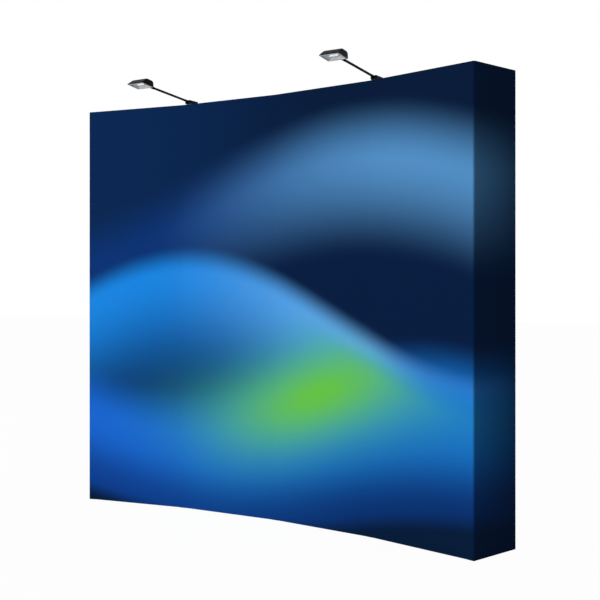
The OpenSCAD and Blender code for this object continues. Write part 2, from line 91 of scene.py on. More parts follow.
# shader expressions
class Wire:
    # one socket of a material; sums, products and quotients of wires add the Math nodes they need
    def __init__(self, tree, socket):
        self.tree, self.socket = tree, socket

    def node(self, kind, settings=None, values=None, output=0):
        # settings are the node's own, values go to its inputs by name or number
        made = self.tree.nodes.new(kind)
        for key, value in (settings or {}).items():
            setattr(made, key, value)
        for key, value in (values or {}).items():
            feed(self.tree, made.inputs[key], value)
        return Wire(self.tree, made.outputs[output] if made.outputs else None)

    def maths(self, operation, *values):
        return self.node("ShaderNodeMath", {"operation": operation}, dict(enumerate(values)))

    def __add__(self, other):
        return self.maths("ADD", self, other)

    def __radd__(self, other):
        return self.maths("ADD", other, self)

    def __sub__(self, other):
        return self.maths("SUBTRACT", self, other)

    def __rsub__(self, other):
        return self.maths("SUBTRACT", other, self)

    def __mul__(self, other):
        return self.maths("MULTIPLY", self, other)

    def __rmul__(self, other):
        return self.maths("MULTIPLY", other, self)

    def __truediv__(self, other):
        return self.maths("DIVIDE", self, other)

    def __neg__(self):
        return self.maths("MULTIPLY", self, -1)


def feed(tree, socket, value):
    # a wire is linked; a colour or a number is the socket's own value
    if isinstance(value, Wire):
        tree.links.new(value.socket, socket)
    elif isinstance(value, str):
        socket.default_value = hexColour(value)
    else:
        socket.default_value = value


def hexColour(text):
    # a colour as it is written, in the linear values that a socket takes
    parts = [int(text[i:i + 2], 16) / 255 for i in (1, 3, 5)]
    return tuple(p / 12.92 if p <= 0.04045 else ((p + 0.055) / 1.055) ** 2.4 for p in parts) + (1,)


def smooth(value, start, end):
    if start > end:
        return 1 - smooth(value, end, start)
    return value.node("ShaderNodeMapRange", {"interpolation_type": "SMOOTHSTEP"},
                      {"Value": value, "From Min": start, "From Max": end})


def bell(value, width):
    # one in the middle, and e to the power of minus one at the width
    share = value / width
    return value.maths("EXPONENT", -(share * share))


def mixColour(mask, low, high):
    # the colour sockets of a Mix node are its inputs 6 and 7 and its output 2
    return mask.node("ShaderNodeMix", {"data_type": "RGBA", "clamp_factor": True},
                     {0: mask, 6: low, 7: high}, output=2)


def startMaterial(name):
    made = bpy.data.materials.new(name)
    made.use_nodes = True
    tree = made.node_tree
    tree.nodes.clear()
    return made, Wire(tree, None)


def finishMaterial(start, settings, normal):
    # one Principled shader, its constants on its own sockets
    shader = start.node("ShaderNodeBsdfPrincipled", None, {**settings, "Normal": normal})
    start.node("ShaderNodeOutputMaterial", None, {"Surface": shader})


def split(vector):
    # the x, y and z of a vector
    outputs = vector.node("ShaderNodeSeparateXYZ", None, {0: vector}).socket.node.outputs
    return [Wire(vector.tree, output) for output in outputs]


def objectPlace(start):
    return Wire(start.tree, start.node("ShaderNodeTexCoord").socket.node.outputs["Object"])


def stretched(vector, x, y, z):
    return vector.node("ShaderNodeVectorMath", {"operation": "MULTIPLY"}, {0: vector, 1: (x, y, z)})


def noise(vector, scale, detail, roughness=0.5):
    return vector.node("ShaderNodeTexNoise", None,
                       {"Vector": vector, "Scale": scale, "Detail": detail, "Roughness": roughness})


def bump(height, strength, distance):
    return height.node("ShaderNodeBump", None, {"Height": height, "Strength": strength, "Distance": distance})


# the printed graphic: soft waves of colour over the face, x and y from 0 to 1
# a wave's line is level + swing * sin(turns * x + start); its colour fades in above the line, over "haze",
# and into the colour of its foot below it, over "depth"
graphicPrint = {
    "sky": ("#0c2852", "#0a1d3a"), "skyChange": (0.1, 0.7), "crestChange": (0.15, 0.85),
    "crestHeight": -0.03, "footHeight": -0.01,
    "waves": [
        {"level": 0.72, "swing": 0.13, "turns": 3.4, "start": -0.9, "haze": 0.12, "depth": 0.24,
         "left": "#0f3474", "right": "#5490c6", "foot": "#0a1f42"},
        {"level": 0.47, "swing": 0.14, "turns": 4.0, "start": 0.5, "haze": 0.045, "depth": 0.32,
         "left": "#1c86e1", "right": "#6bb0e9", "foot": "#0d2f6a"},
        {"level": 0.27, "swing": 0.07, "turns": 5.0, "start": 3.4, "haze": 0.11, "depth": 0.30,
         "left": "#1b66d2", "right": "#1b78d4", "foot": "#10449a"},
        {"level": 0.06, "swing": 0.05, "turns": 4.6, "start": 3.0, "haze": 0.12, "depth": 0.06,
         "left": "#114090", "right": "#0d3272", "foot": "#0a1f3d"},
    ],
    "glow": {"under": 1, "cover": (0.02, -0.07), "on": 2, "x": 0.62, "reach": 0.24, "lift": 0.02,
             "height": 0.10, "middle": "#68c746", "edge": "#1d9cb8", "edgeSize": 1.4, "edgeShare": 0.8},
}


def graphicColour(x, y):
    colour = mixColour(smooth(x, *graphicPrint["skyChange"]), *graphicPrint["sky"])
    heights = []
    for wave in graphicPrint["waves"]:
        above = y - (wave["level"] + wave["swing"] * x.maths("SINE", x * wave["turns"] + wave["start"]))
        crest = mixColour(smooth(x, *graphicPrint["crestChange"]), wave["left"], wave["right"])
        colour = mixColour(smooth(above, wave["haze"], graphicPrint["crestHeight"]), colour, crest)
        colour = mixColour(smooth(above, graphicPrint["footHeight"], -wave["depth"]), colour, wave["foot"])
        heights.append(above)
    # a green glow that lies on one wave and under another, teal where it fades
    glow = graphicPrint["glow"]
    height, aside = heights[glow["on"]] - glow["lift"], x - glow["x"]
    cover = smooth(heights[glow["under"]], *glow["cover"])
    wide = bell(height, glow["edgeSize"] * glow["height"]) * bell(aside, glow["edgeSize"] * glow["reach"])
    near = bell(height, glow["height"]) * bell(aside, glow["reach"])
    colour = mixColour(wide * cover * glow["edgeShare"], colour, glow["edge"])
    return mixColour(near * cover, colour, glow["middle"])


# mesh helpers
def onBow(angle, points):
    # a point at x along the wall, y behind the face, z up, seen from the column at that angle of the bow
    x, y, z = points[..., 0], points[..., 1] + bowRadius, points[..., 2]
    return np.stack([x * np.cos(angle) + y * np.sin(angle),
                     y * np.cos(angle) - x * np.sin(angle) - arcCentre, z], -1)


def columnAngle(index):
    return (index - 2) * unitAngle


def gridFaces(rows, columns, offset=0, wrapColumns=False):
    # four-cornered faces between neighbours of a grid, row by row
    i = np.arange(rows - 1)[:, None]
    j = np.arange(columns if wrapColumns else columns - 1)[None, :]
    beside = (j + 1) % columns
    corners = [i * columns + j, (i + 1) * columns + j, (i + 1) * columns + beside, i * columns + beside]
    return np.stack(corners, -1).reshape(-1, 4) + offset


def roundedRing(halfX, low, high, radius):
    # a rectangle with round corners, anticlockwise from above; each size may be an array
    sizes = [np.asarray(value, float)[..., None] for value in (halfX, low, high, radius)]
    halfX, low, high, radius = np.broadcast_arrays(*sizes)
    turn = np.linspace(0, math.pi / 2, 6)
    corners = []
    for quarter, (sx, edge) in enumerate([(1, high), (-1, high), (-1, low), (1, low)]):
        sy = 1 if quarter < 2 else -1
        angle = turn + quarter * math.pi / 2
        corners.append(np.stack([sx * (halfX - radius) + radius * np.cos(angle),
                                 edge - sy * radius + radius * np.sin(angle)], -1))
    return np.concatenate(corners, -2)


def atHeight(rings, heights):
    # flat rings, each lifted to its own height
    z = np.broadcast_to(np.asarray(heights, float)[:, None, None], rings.shape[:2] + (1,))
    return np.concatenate([rings, z], -1)


def lathe(profile, start, direction, around=28, lobes=0, lobeDepth=0.0):
    # rings about an axis: start + distance along it + radius * (cos, sin) of the turn about it, where the
    # profile gives distance and radius, and lobes scallop the radius
    profile = np.asarray(profile, float)
    axis = np.asarray(direction, float) / np.linalg.norm(direction)
    across = np.cross(axis, [0.0, 0.0, 1.0] if abs(axis[2]) < 0.9 else [0.0, 1.0, 0.0])
    across /= np.linalg.norm(across)
    other = np.cross(axis, across)
    turn = np.linspace(0, 2 * math.pi, around, endpoint=False)
    radius = profile[:, 1:2] * (1 - lobeDepth * (0.5 + 0.5 * np.cos(lobes * turn)))
    return (np.asarray(start, float) + profile[:, :1, None] * axis
            + (radius * np.cos(turn))[..., None] * across + (radius * np.sin(turn))[..., None] * other)


def roundedBlock(halfX, low, high, bottom, top, radius, edge, steps=4):
    # a block with round upright corners and an eased edge at its top and bottom
    turn = np.linspace(0, math.pi / 2, steps)
    inset = np.concatenate([edge * (1 - np.sin(turn)), edge * (1 - np.cos(turn))])
    heights = np.concatenate([bottom + edge * (1 - np.cos(turn)), top - edge * (1 - np.sin(turn))])
    return atHeight(roundedRing(halfX - inset, low + inset, high - inset, radius), heights)


class Shape:
    # points and faces gathered from several surfaces into one mesh
    def __init__(self):
        self.points, self.faces, self.maps, self.marks, self.count = [], [], [], [], 0

    def add(self, points, faces, mapped=None, mark=0.0):
        flat = points.reshape(-1, 3)
        self.points.append(flat)
        self.faces.extend((np.asarray(faces) + self.count).tolist() if isinstance(faces, np.ndarray)
                          else [[v + self.count for v in face] for face in faces])
        self.maps.append(np.zeros((len(flat), 2)) if mapped is None else mapped.reshape(-1, 2))
        self.marks.append(np.broadcast_to(np.asarray(mark, float).reshape(-1), (len(flat),)))
        self.count += len(flat)

    def tube(self, rings):
        # a closed skin over rings of points, from the first ring to the last
        n, m = rings.shape[:2]
        ends = [list(range(m)), list(range((n - 1) * m, n * m))[::-1]]
        self.add(rings, gridFaces(n, m, wrapColumns=True).tolist() + ends)

    def piece(self, name, material, body, slotName, mapped=False, marked=None, outward=True):
        mesh = bpy.data.meshes.new(name)
        mesh.from_pydata(np.concatenate(self.points).tolist(), [], self.faces)
        if mapped:
            layer = mesh.uv_layers.new(name="graphic")
            corners = np.zeros(len(mesh.loops), int)
            mesh.loops.foreach_get("vertex_index", corners)
            layer.data.foreach_set("uv", np.concatenate(self.maps)[corners].ravel())
        if marked:
            attribute = mesh.attributes.new(marked, "FLOAT", "POINT")
            attribute.data.foreach_set("value", np.concatenate(self.marks).astype(np.float32))
        if outward:
            turnOutward(mesh)
        mesh.polygons.foreach_set("use_smooth", np.full(len(mesh.polygons), True))
        mesh.set_sharp_from_angle(angle=math.radians(35))
        made = bpy.data.objects.new(name, mesh)
        bpy.context.scene.collection.objects.link(made)
        mesh.materials.append(material)
        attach(made, body)
        return made


def turnOutward(mesh):
    # faces of a closed skin are turned to point outwards
    work = bmesh.new()
    work.from_mesh(mesh)
    bmesh.ops.recalc_face_normals(work, faces=work.faces)
    work.to_mesh(mesh)
    work.free()


# materials
# wales and courses are counted per metre; the hem is the seam's distance from the edge
knit = {"wale": 1000, "course": 800, "drawn": 0.16, "contrast": 0.5, "depth": 0.0006}
# in the seam, dark is the painted shade in the hem's groove
seam = {"hem": 0.016, "groove": 0.001, "stitch": 0.0045, "dark": 0.35, "bright": 0.5, "relief": 1.5}
# the returns' darkening towards the back: partly print, partly painted shade
returnPrintAndPaintedShade = {"colour": "#06152c", "corner": 0.006, "nearCorner": 0.64, "rise": 2.0}
fabricBack = {"colour": "#d6d8dc", "seenThrough": 0.13, "yarn": 0.05}


def fabricMaterial():
    # knitted polyester: the print on the face, a pale back that lets a little of it through
    made, start = startMaterial("printedFabric")
    mapped = start.node("ShaderNodeUVMap", {"uv_map": "graphic"})
    x, y, _ = split(mapped)
    shade = graphicColour(x.maths("MINIMUM", x.maths("MAXIMUM", x, 0), 1), y)
    # round the corners the print goes on in the colour of its edge, and darkens towards the back, partly as
    # print and partly as painted shade
    past = x.maths("ABSOLUTE", x - 0.5) - 0.5
    dark = smooth(past, 0, returnPrintAndPaintedShade["corner"]) * (returnPrintAndPaintedShade["nearCorner"] + returnPrintAndPaintedShade["rise"] * past)
    shade = mixColour(dark, shade, returnPrintAndPaintedShade["colour"])
    # the knit: upright wales and level courses of yarn, each a noise drawn out along the yarn
    metres = stretched(mapped, 2 * faceHalf, wall["height"], 1)
    wales = noise(stretched(metres, 1, knit["drawn"], 1), knit["wale"], 2)
    courses = noise(stretched(metres, knit["drawn"], 1, 1), knit["course"], 2)
    yarn = wales + courses - 1
    # the sewn hem along the top and bottom edges: a groove with a row of stitches in it; the groove is
    # darkened with painted shade, and the stitches are lighter
    edge = wall["height"] * x.maths("MINIMUM", y, 1 - y)
    groove = bell(edge - seam["hem"], seam["groove"])
    stitch = groove * smooth(x.maths("SINE", x * (4 * math.pi * faceHalf / seam["stitch"])), -0.3, 0.3)
    reverse = mixColour(fabricBack["seenThrough"] + yarn * fabricBack["yarn"], fabricBack["colour"], shade)
    back = start.node("ShaderNodeAttribute", {"attribute_name": "back"}, output=2)
    # the brightness of the print: yarn tone, painted shade in the hem's groove, lighter stitches
    light = 1 + knit["contrast"] * yarn - seam["dark"] * groove + seam["bright"] * stitch
    both = mixColour(back, shade, reverse)
    colour = both.node("ShaderNodeVectorMath", {"operation": "SCALE"}, {0: both, 3: light})
    values = {"Base Color": colour, "Roughness": 0.9, "Sheen Weight": 0.01, "Specular IOR Level": 0.0}
    finishMaterial(start, values, bump(yarn + seam["relief"] * (stitch - groove), 0.3, knit["depth"]))
    return made


def plainMaterial(name, dark, light, roughness, metallic=0.0, grain=400, stretch=(1, 1, 1), depth=0.0002,
                  extra=None):
    # a moulded or drawn finish: two near tones in a fine grain that also moves the roughness and the surface
    made, start = startMaterial(name)
    fine = noise(stretched(objectPlace(start), *stretch), grain, 3, 0.6)
    broad = noise(objectPlace(start), 9, 2)
    colour = mixColour(fine * 0.6 + broad * 0.4, dark, light)
    values = {"Base Color": colour, "Roughness": roughness + (fine - 0.5) * 0.2, "Metallic": metallic}
    values.update(extra or {})
    finishMaterial(start, values, bump(fine, 0.3, depth))
    return made


materials = {
    "printed_fabric": fabricMaterial(),
    "aluminium": plainMaterial("anodisedAluminium", "#a9adb3", "#c6c9ce", 0.38, 0.9, 260, (1, 1, 0.02)),
    "tube_aluminium": plainMaterial("drawnAluminium", "#bcbfc3", "#cbced2", 0.3, 0.95, 700, depth=0.00002),
    "black_nylon": plainMaterial("blackNylon", "#131417", "#202226", 0.5),
    "grey_nylon": plainMaterial("greyNylon", "#2c2e33", "#3c3f45", 0.5),
    "hook_tape": plainMaterial("hookTape", "#17181b", "#2a2b30", 0.9, 0.0, 900, depth=0.0008),
    "black_plastic": plainMaterial("blackPlastic", "#020203", "#060607", 0.42,
                                   extra={"Specular IOR Level": 0.08}),
    "black_enamel": plainMaterial("blackEnamel", "#010101", "#040405", 0.36,
                                  extra={"Specular IOR Level": 0.06}),
    "reflector": plainMaterial("hammeredReflector", "#b4b4b2", "#e0e0dd", 0.45, 0.35, 60),
    "bulb": plainMaterial("bulbGlass", "#f2f3f4", "#fefefe", 0.12,
                          extra={"Emission Color": "#ffffff", "Emission Strength": 0.45}),
    "steel": plainMaterial("pinSteel", "#8b8f96", "#b4b8be", 0.32, 0.95, 350),
    "ceramic": plainMaterial("ceramic", "#cfcac0", "#e9e5dc", 0.6),
    "clipSteel": plainMaterial("clipSteel", "#9aa3b2", "#c3cad6", 0.35, 0.85, 300),
    "lamp_glass": plainMaterial("lampGlass", "#eef2f6", "#ffffff", 0.05, 0.0, 300, depth=0.00002,
                                extra={"Alpha": 0.12}),
}
nodeFinishes = {
    "front_upright": "aluminium", "rear_upright": "aluminium", "front_arm_tubes": "tube_aluminium",
    "rear_arm_tubes": "tube_aluminium", "front_hubs": "black_nylon", "rear_hubs": "black_nylon",
    "front_arm_joints": "black_nylon", "rear_arm_joints": "black_nylon", "lock_bar": "grey_nylon",
    "hook_tape": "hook_tape", "lamp_base": "black_plastic", "lamp_arm": "black_enamel",
    "lamp_housing": "black_enamel", "lamp_reflector": "reflector", "lamp_glass": "lamp_glass",
    "graphic_panel": "printed_fabric", "fabric_return": "printed_fabric",
}
for name, node in nodes.items():
    finish = next(value for key, value in nodeFinishes.items() if name.startswith(key))
    if not node.material_slots:
        node.data.materials.append(None)
    for holder in node.material_slots:
        holder.material = materials[finish]
print("materials made")


# the graphic's four lengths of fabric
fabricCut = {"thickness": 0.0008, "across": 44, "upward": 120, "hem": 0.0018, "softness": 0.0005,
             "straight": 0.35, "backEdge": 0.001}
# values for a fold of each length: the share of its width that each would keep, and an axis 0.2 % flatter
# than the chord, so that folded fabric would stay in front of the far tape; the lengths are not folded here
fabricFold = {"farKeep": 0.17096, "innerKeep": 0.15459, "flatter": 0.998}
panelColumns = [1, 2, 2, 3]                              # the column that each length rides on


def fabricPull(angle):
    # fabric is pulled straight from upright to upright, with a soft bend over each one: how far it stands
    # in front of the bow is the chord's distance c, rounded as the root of c squared plus softness squared
    fromMiddle = np.mod(np.clip(angle, -endAngle, endAngle), unitAngle) - unitAngle / 2
    chord = bowRadius * np.clip(1 - math.cos(unitAngle / 2) / np.cos(fromMiddle), 0, None)
    return fabricCut["softness"] - np.hypot(chord, fabricCut["softness"])


def fabricSheet(shape, front, back, mapped):
    # a closed thin sheet from a grid of front points and the same grid of back points
    n, m = front.shape[:2]
    size = n * m
    faces = gridFaces(n, m).tolist() + gridFaces(n, m, size)[:, ::-1].tolist()
    for a, b in ((0, 1), (n - 1, -1)):
        row = a * m + np.arange(m)
        faces += np.stack([row[:-1], row[1:], row[1:] + size, row[:-1] + size][::b], -1).tolist()
    for a, b in ((0, -1), (m - 1, 1)):
        line = np.arange(n) * m + a
        faces += np.stack([line[:-1], line[1:], line[1:] + size, line[:-1] + size][::b], -1).tolist()
    both = np.stack([front, back]).reshape(-1, 3)
    shape.add(both, faces, np.stack([mapped, mapped]), np.repeat([0.0, 1.0], size))


def graphicPanel(unit):
    low = columnAngle(unit) - (math.atan(cornerX / bowRadius) if unit == 0 else 0)
    high = columnAngle(unit + 1) + (math.atan(cornerX / bowRadius) if unit == 3 else 0)
    share = np.linspace(-1, 1, fabricCut["across"])
    # points closer together over the uprights
    share = fabricCut["straight"] * share + (1 - fabricCut["straight"]) * np.sin(share * math.pi / 2)
    angle = ((low + high) / 2 + (high - low) / 2 * share)[:, None]
    height = np.linspace(fabricCut["hem"], wall["height"], fabricCut["upward"])[None, :]
    angle, height = np.broadcast_arrays(angle, height)
    flat, pull = np.zeros(angle.shape), fabricPull(angle)
    front = onBow(angle, np.stack([flat, pull, height], -1))
    back = onBow(angle, np.stack([flat, pull + fabricCut["thickness"], height], -1))
    mapped = np.stack([(bowRadius * angle + faceHalf) / (2 * faceHalf), height / wall["height"]], -1)
    shape = Shape()
    fabricSheet(shape, front, back, mapped)
    column = panelColumns[unit]
    made = shape.piece("graphic_" + unitNames[unit], materials["printed_fabric"],
                       "front_column_" + columnNames[column], "printed_fabric", mapped=True, marked="back")
    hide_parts("graphic_panel_" + unitNames[unit])
    middle = fabricFold["flatter"] * (columnAngle(unit) + columnAngle(unit + 1)) / 2
    anchor = onBow(columnAngle(column), np.array([0.0, 0.0, 0.0]))
    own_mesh(made)
    (high - low) * bowRadius


for unit in range(4):
    graphicPanel(unit)
print("graphic made")


# the side returns: round the corner and back to the rear upright
def returnOutline(inset):
    # the arc of the front corner, then the straight side back to the rear upright
    r = wall["cornerRadius"]
    turn = np.linspace(0, math.pi / 2, 10)
    arc = np.stack([cornerX + (r - inset) * np.sin(turn), r - (r - inset) * np.cos(turn)], -1)
    run = np.linspace(r, wall["depth"] - fabricCut["backEdge"], 24)[1:]
    side = np.stack([np.full(len(run), columnInset - inset), run], -1)
    return np.concatenate([arc, side])


def fabricReturn(side):
    sign, column = [(-1, "far_left"), (1, "far_right")][side]
    outer, inner = returnOutline(0.0), returnOutline(fabricCut["thickness"])
    steps = np.concatenate([[0], np.cumsum(np.linalg.norm(np.diff(outer, axis=0), axis=1))])
    height = np.linspace(fabricCut["hem"], wall["height"], fabricCut["upward"])
    grids = []
    for line in (outer, inner):
        x = np.broadcast_to(line[:, :1] * sign, (len(line), len(height)))
        y = np.broadcast_to(line[:, 1:], x.shape)
        grids.append(onBow(sign * endAngle, np.stack([x, y, np.broadcast_to(height, x.shape)], -1)))
    across = (faceHalf + sign * (faceHalf + steps[:, None])) / (2 * faceHalf)
    mapped = np.stack(np.broadcast_arrays(across, height[None, :] / wall["height"]), -1)
    shape = Shape()
    fabricSheet(shape, grids[0], grids[1], mapped)
    made = shape.piece("return_" + sideNames[side], materials["printed_fabric"], "front_column_" + column,
                       "printed_fabric", mapped=True, marked="back")
    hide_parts("fabric_return_" + sideNames[side])


for side in (0, 1):
    fabricReturn(side)
print("returns made")


# steel in the frame: rivet heads on the hub pins and elbows, plate screws, spring buttons; their profiles
# for the lathe give distance along the axis, and radius
fittings = {"hubHeight": 0.044, "pinOffset": 0.024, "headRadius": 0.0070, "plateDepth": 0.006,
            "screwSpread": 0.026, "buttonDrop": 0.028, "buttonSunk": 0.0008}
domeProfile = [(0.0, fittings["headRadius"]), (0.0026, fittings["headRadius"]), (0.0034, 0.0058),
               (0.0039, 0.0035), (0.0041, 0.0012)]
screwProfile = [(0.0, 0.0036), (0.0030, 0.0036), (0.0036, 0.0030), (0.0038, 0.0016), (0.0024, 0.0014)]
buttonProfile = [(0.0, 0.003), (0.0012, 0.003), (0.0020, 0.0022), (0.0023, 0.0008)]


def columnSteel(index, rear):
    # the hub plates and the outer faces of the uprights lie the other way round on the rear columns
    pin, facing, inside = (rearPinY, -1, rearFaceY) if rear else (frontPinY, 1, frontFaceY)
    plate = inside + facing * fittings["plateDepth"]
    middle = inside - facing * wall["uprightDepth"] / 2
    shape, angle = Shape(), columnAngle(index)
    for row in rowHeights:
        for sign in (-1, 1):
            if 0 <= index + sign <= 4:
                for up in (-1, 1):
                    start = (sign * fittings["pinOffset"], pin, row + up * fittings["hubHeight"] / 2)
                    shape.tube(onBow(angle, lathe(domeProfile, start, (0, 0, up), 20)))
            start = (0, plate, row + sign * fittings["screwSpread"])
            shape.tube(onBow(angle, lathe(screwProfile, start, (0, facing, 0), 14)))
    # a spring button below each joint of the upright's tube
    for height in wall["tubeJoints"]:
        for sign in (-1, 1):
            x = sign * (wall["uprightWidth"] / 2 - fittings["buttonSunk"])
            button = lathe(buttonProfile, (x, middle, height - fittings["buttonDrop"]), (sign, 0, 0), 12)
            shape.tube(onBow(angle, button))
    name = ("rear_" if rear else "front_") + columnNames[index]
    body = ("rear_column_" if rear else "front_column_") + columnNames[index]
    shape.piece("steel_" + name, materials["steel"], body, "black_nylon")


# the arms: crimped collars where each tube takes its moulded end, and the elbow rivets
arm = {"tubeRadius": 0.008, "tubeStart": 0.030, "level": 0.009, "elbowHead": 0.0173, "collarInset": 0.007}
halfReach = (bowRadius + (frontPinY + rearPinY) / 2) * math.tan(unitAngle / 2) - fittings["pinOffset"]
halfRise = (rearPinY - frontPinY) / 2
halfLength = math.hypot(halfReach, halfRise)
# a collar of two rolled rings: distance along the tube, and height over it
collarProfile = np.array([(-0.0030, -0.0002), (-0.0022, 0.0004), (-0.0010, 0.0004), (0, 0.0001),
                          (0.0010, 0.0004), (0.0022, 0.0004), (0.0030, -0.0002)]) + [0, arm["tubeRadius"]]


def armSteel(unit, rear):
    # collars along both halves of the arms that leave the front pins upwards, or the rear pins
    shape = Shape()
    level = -arm["level"] if rear else arm["level"]
    inset = arm["tubeStart"] + arm["collarInset"]
    for index, sign in ((unit, 1), (unit + 1, -1)):
        fromRear = rear == (sign == 1)
        start = np.array([sign * fittings["pinOffset"], rearPinY if fromRear else frontPinY, 0])
        along = np.array([sign * halfReach, -halfRise if fromRear else halfRise, 0]) / halfLength
        for row in rowHeights:
            for place in (inset, halfLength - inset):
                middle = start + along * place + np.array([0, 0, row + level])
                shape.tube(onBow(columnAngle(index), lathe(collarProfile, middle, along, 20)))
    name = ("rear_" if rear else "front_") + unitNames[unit]
    body = ("rear_arms_" if rear else "front_arms_") + unitNames[unit]
    shape.piece("collars_" + name, materials["tube_aluminium"], body, "tube_aluminium")
    if rear:
        return
    # the heads of the rivets that hold the crossing arms together
    rivets = Shape()
    elbow = onBow(columnAngle(unit), np.array([fittings["pinOffset"] + halfReach, frontPinY + halfRise, 0]))
    for row in rowHeights:
        for up in (-1, 1):
            rivet = elbow + np.array([0, 0, row + up * arm["elbowHead"]])
            rivets.tube(lathe(domeProfile, rivet, (0, 0, up), 20))
    rivets.piece("rivets_" + unitNames[unit], materials["steel"], body, "black_nylon")


for index in range(5):
    columnSteel(index, False)
    columnSteel(index, True)
for unit in range(4):
    armSteel(unit, False)
    armSteel(unit, True)
print("frame fittings made")


# lamps: the hinge's y and z are from the foot of its upright, the head's places are from its own pivot
lamp = {"hinge": (0.043, 2.277), "yaw": 1.8, "armLength": 0.340, "armRise": 4.6, "headPitch": 7}
head = {
    "halfWidth": 0.054, "front": -0.115, "ridge": -0.081, "back": -0.025, "glass": -0.018, "top": 0.0155,
    "wall": 0.0025, "band": 0.004, "corner": 0.007, "taper": 0.0025, "rollFrom": 0.8, "roll": 0.005,
    "frontRoll": 0.004, "bendFrom": 0.45, "bend": 0.020,
}
rib = {"count": 9, "spread": 0.036, "halfWidth": 0.0011, "frontGap": 0.006, "backGap": 0.025,
       "sunk": 0.001, "height": 0.0017}
lip = {"out": 0.0055, "in": 0.003, "halfHeight": 0.0008, "endGap": 0.004, "roundness": 0.6}
reflector = {"gap": 0.0004, "rim": 0.007, "roll": 0.0016, "floor": 0.0022, "depth": 0.0135, "squareness": 3.2,
             "fullness": 0.7, "dent": 0.0006, "dents": (7, 5), "pane": 0.002, "bulbHeight": 0.0088}
# the box reaches in front of the hinge, its heights are from the floor; the bracket's distances are from the
# faces and the top of its upright
gearBox = {"reach": 0.013, "length": 0.080, "half": 0.016, "low": 2.264, "high": 2.284, "split": 2.274,
           "joint": 0.0003, "bodyStart": 0.025, "tray": 0.003, "cheekLength": 0.028, "cheekHalf": 0.00485,
           "cheekAside": 0.01115, "screwInsets": (0.036, 0.012)}
bracket = {"gap": 0.0003, "plateEnd": 0.032, "plateTop": 0.0083, "tabBack": 0.0063, "tabDrop": 0.020,
           "plugHalf": 0.0182, "plugGap": 0.0017, "plugDrop": 0.030, "screwDrop": 0.011}
lampTip = (lamp["hinge"][0] - lamp["armLength"] * math.cos(math.radians(lamp["armRise"])),
           lamp["hinge"][1] + lamp["armLength"] * math.sin(math.radians(lamp["armRise"])))
headMiddle = (head["front"] + head["back"]) / 2
headHalf = (head["back"] - head["front"]) / 2
# half the reflector's width and depth, over its rim and inside it
rimHalf = np.array([head["halfWidth"], headHalf]) - head["wall"] - reflector["gap"]
panHalf = rimHalf - reflector["rim"]
# profiles for the lathe: distance along the axis, and radius; the arm's front end is measured from its tip
armRearProfile = [(0.004, 0.0062), (0.030, 0.0068), (0.034, 0.0066), (0.036, 0.0061)]
armFrontProfile = [(-0.040, 0.0061), (-0.038, 0.0066), (-0.034, 0.0070), (-0.010, 0.0068), (-0.004, 0.0056)]
rearEyeProfile = [(-0.0060, 0.0072), (-0.0055, 0.008), (0.0055, 0.008), (0.0060, 0.0072)]
frontEyeProfile = [(-0.0060, 0.0062), (-0.0055, 0.007), (0.0055, 0.007), (0.0060, 0.0062)]
halfBulbProfile = [(0.0, 0.0045), (0.016, 0.0045), (0.019, 0.004275), (0.0215, 0.0027), (0.024, 0.002475)]
hingePinProfile = [(-0.0163, 0.003), (0.0163, 0.003)]
lugProfile = [(0.0063, 0.0065), (0.0067, 0.007), (0.0099, 0.007), (0.0103, 0.0065)]
capNutProfile = [(0.0103, 0.0045), (0.0128, 0.0045), (0.0140, 0.0036), (0.0146, 0.0015)]
boxNutProfile = [(0.016, 0.0046), (0.0172, 0.0046), (0.0186, 0.0038), (0.0190, 0.0018)]
glandProfile = [(0.0, 0.0078), (0.004, 0.0078), (0.0042, 0.006), (0.010, 0.0055), (0.0115, 0.0045),
                (0.0115, 0.0032), (0.002, 0.0032)]
socketProfile = [(0.0, 0.0028), (0.0006, 0.0026), (0.0006, 0.0013), (0.0, 0.0012)]
knobProfile = [(0.0, 0.003), (0.011, 0.003), (0.0112, 0.0085), (0.0125, 0.009), (0.0185, 0.009),
               (0.0198, 0.0082), (0.0200, 0.005)]
holderProfile = [(0.0225, 0.0032), (0.0228, 0.0038), (0.0305, 0.0038), (0.0312, 0.003)]


def turnedX(points, degrees):
    # a turn about the x axis
    c, s = math.cos(math.radians(degrees)), math.sin(math.radians(degrees))
    x, y, z = points[..., 0], points[..., 1], points[..., 2]
    return np.stack([x, y * c - z * s, y * s + z * c], -1)


def lampPlace(side, points):
    # the lamps face forward from the middle of their upright, turned a little to the right
    a, yaw = columnAngle(1 + 2 * side), math.radians(lamp["yaw"])
    c, s = math.cos(yaw), math.sin(yaw)
    x, y, z = points[..., 0], points[..., 1], points[..., 2]
    turned = np.stack([x * c - y * s, x * s + y * c, z], -1)
    return turned + np.array([arcCentre * math.sin(a), arcCentre * math.cos(a) - arcCentre, 0])


def headPlace(side, points):
    return lampPlace(side, turnedX(points, -lamp["headPitch"]) + np.array([0, *lampTip]))


def armPlace(side, points):
    return lampPlace(side, turnedX(points, -lamp["armRise"]) + np.array([0, *lamp["hinge"]]))


def quarterRound(share, used=1.0):
    # how far a quarter circle has curved in at a share of its height; less used leaves its end less steep
    return 1 - np.sqrt(np.clip(1 - used * np.clip(share, 0, 1) ** 2, 0, 1))


